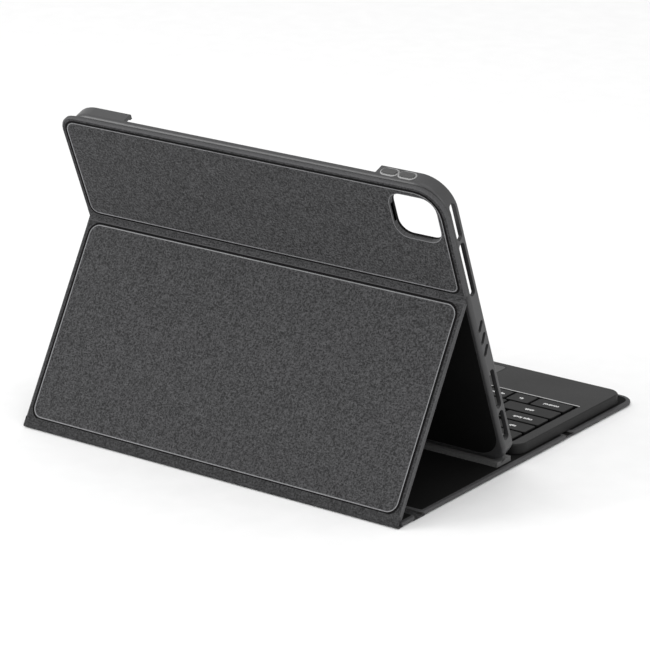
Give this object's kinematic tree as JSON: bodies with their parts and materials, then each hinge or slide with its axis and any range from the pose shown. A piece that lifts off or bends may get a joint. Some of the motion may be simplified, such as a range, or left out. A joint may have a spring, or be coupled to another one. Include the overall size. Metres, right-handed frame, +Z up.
{
  "type": "tablet keyboard case",
  "caption": "Folding easel cover for a tablet, with a flexible holding tray, a creased stand panel and a detachable slim keyboard.",
  "frame": {"origin": "under the middle of the case's box, on the surface that it stands on", "axes": "+X to the user's right, -Y towards the user, +Z up; the easel pose is the rest pose"},
  "size_m": [0.254, 0.241, 0.1777],
  "materials": {
    "cover_skin": "mottled woven-look synthetic leather",
    "cover_lining": "fine microfibre",
    "stiff_board": "pressed board",
    "tray_rubber": "matt moulded elastomer",
    "tray_plastic": "matt moulded plate",
    "strip_skin": "smooth coated strip",
    "button_rubber": "matt moulded elastomer",
    "magnet": "nickel plated",
    "steel": "plated sheet",
    "keyboard_case": "fine moulded texture",
    "key_plastic": "satin",
    "dome_rubber": "silicone",
    "membrane": "printed film",
    "clip_plastic": "acetal",
    "battery_wrap": "laminated foil",
    "circuit": "solder mask",
    "light_pipe": "clear",
    "touch_surface": "satin",
    "switch_plastic": "matt"
  },
  "bodies": {
    "base": {"base_skin": "cover_skin", "base_front_board": "stiff_board", "base_rear_board": "stiff_board", "base_lining": "cover_lining", "dock_plates": "steel", "closure_magnets": "magnet", "stop_strip": "strip_skin", "strip_magnets": "magnet"},
    "spine": {"spine_skin": "cover_skin", "spine_board": "stiff_board", "spine_lining": "cover_lining", "foot_fold": "cover_skin"},
    "stand": {"stand_skin": "cover_skin", "stand_board": "stiff_board", "stand_lining": "cover_lining", "crease_fold": "cover_skin"},
    "tray": {"upper_skin": "cover_skin", "upper_board": "stiff_board", "tray_floor": "tray_plastic", "tray_rim": "tray_rubber", "tray_magnets": "magnet"},
    "volume_up": {"volume_up_button": "button_rubber"},
    "volume_down": {"volume_down_button": "button_rubber"},
    "keyboard": {"keyboard_top_case": "keyboard_case", "keyboard_bottom_case": "keyboard_case", "case_screws": "steel", "keyboard_feet": "dome_rubber", "key_support_plate": "steel", "key_membrane": "membrane", "rubber_domes": "dome_rubber", "scissor_clips": "clip_plastic", "battery": "battery_wrap", "main_circuit_board": "circuit", "keyboard_magnets": "magnet", "charge_port": "steel", "status_lights": "light_pipe"},
    "touchpad": {"touchpad": "touch_surface"},
    "power_switch": {"power_switch": "switch_plastic"},
    "space_key": {"space_key": "key_plastic"},
    "left_shift_key": {"left_shift_key": "key_plastic"},
    "right_shift_key": {"right_shift_key": "key_plastic"},
    "caps_key": {"caps_key": "key_plastic"},
    "enter_key": {"enter_key": "key_plastic"},
    "tab_key": {"tab_key": "key_plastic"},
    "delete_key": {"delete_key": "key_plastic"},
    "keys_front_row": {"keys_front_row": "key_plastic"},
    "keys_lower_row": {"keys_lower_row": "key_plastic"},
    "keys_home_row": {"keys_home_row": "key_plastic"},
    "keys_upper_row": {"keys_upper_row": "key_plastic"},
    "keys_number_row": {"keys_number_row": "key_plastic"}
  },
  "joints": [
    {"name": "spine_hinge", "type": "hinge", "parent": "base", "child": "spine", "pos_m": [0, 0.10045, 0], "axis": [1, 0, 0], "range_deg": [-170, 0]},
    {"name": "stand_hinge", "type": "hinge", "parent": "spine", "child": "stand", "pos_m": [0, 0.11945, 0.0012], "axis": [-1, 0, 0], "range_deg": [0, 119.3]},
    {"name": "crease_hinge", "type": "hinge", "parent": "stand", "child": "tray", "pos_m": [0, 0.05911, 0.10873], "axis": [1, 0, 0], "range_deg": [0, 51.2]},
    {"name": "keyboard_lift", "type": "slide", "parent": "base", "child": "keyboard", "axis": [0, 0, 1], "range_m": [0, 0.04]},
    {"name": "touchpad_press", "type": "hinge", "parent": "keyboard", "child": "touchpad", "pos_m": [0, -0.07805, 0.0086], "axis": [1, 0, 0], "range_deg": [0, 0.8], "stiffness_Nm_per_rad": 1.1},
    {"name": "switch_slide", "type": "slide", "parent": "keyboard", "child": "power_switch", "axis": [0, 1, 0], "range_m": [0, 0.0036]},
    {"name": "volume_up_press", "type": "slide", "parent": "tray", "child": "volume_up", "axis": [0, -0.3713, -0.9285], "range_m": [0, 0.0006], "stiffness_N_per_m": 800},
    {"name": "volume_down_press", "type": "slide", "parent": "tray", "child": "volume_down", "axis": [0, -0.3713, -0.9285], "range_m": [0, 0.0006], "stiffness_N_per_m": 800},
    {"name": "space_key_press", "type": "slide", "parent": "keyboard", "child": "space_key", "axis": [0, 0, -1], "range_m": [0, 0.0012], "stiffness_N_per_m": 500},
    {"name": "left_shift_key_press", "type": "slide", "parent": "keyboard", "child": "left_shift_key", "axis": [0, 0, -1], "range_m": [0, 0.0012], "stiffness_N_per_m": 500},
    {"name": "right_shift_key_press", "type": "slide", "parent": "keyboard", "child": "right_shift_key", "axis": [0, 0, -1], "range_m": [0, 0.0012], "stiffness_N_per_m": 500},
    {"name": "caps_key_press", "type": "slide", "parent": "keyboard", "child": "caps_key", "axis": [0, 0, -1], "range_m": [0, 0.0012], "stiffness_N_per_m": 500},
    {"name": "enter_key_press", "type": "slide", "parent": "keyboard", "child": "enter_key", "axis": [0, 0, -1], "range_m": [0, 0.0012], "stiffness_N_per_m": 500},
    {"name": "tab_key_press", "type": "slide", "parent": "keyboard", "child": "tab_key", "axis": [0, 0, -1], "range_m": [0, 0.0012], "stiffness_N_per_m": 500},
    {"name": "delete_key_press", "type": "slide", "parent": "keyboard", "child": "delete_key", "axis": [0, 0, -1], "range_m": [0, 0.0012], "stiffness_N_per_m": 500},
    {"name": "keys_front_row_press", "type": "slide", "parent": "keyboard", "child": "keys_front_row", "axis": [0, 0, -1], "range_m": [0, 0.0012], "stiffness_N_per_m": 500},
    {"name": "keys_lower_row_press", "type": "slide", "parent": "keyboard", "child": "keys_lower_row", "axis": [0, 0, -1], "range_m": [0, 0.0012], "stiffness_N_per_m": 500},
    {"name": "keys_home_row_press", "type": "slide", "parent": "keyboard", "child": "keys_home_row", "axis": [0, 0, -1], "range_m": [0, 0.0012], "stiffness_N_per_m": 500},
    {"name": "keys_upper_row_press", "type": "slide", "parent": "keyboard", "child": "keys_upper_row", "axis": [0, 0, -1], "range_m": [0, 0.0012], "stiffness_N_per_m": 500},
    {"name": "keys_number_row_press", "type": "slide", "parent": "keyboard", "child": "keys_number_row", "axis": [0, 0, -1], "range_m": [0, 0.0012], "stiffness_N_per_m": 500}
  ],
  "couplings": [
    {"joint": "crease_hinge", "follows": "stand_hinge", "ratio": 0.42833}
  ]
}
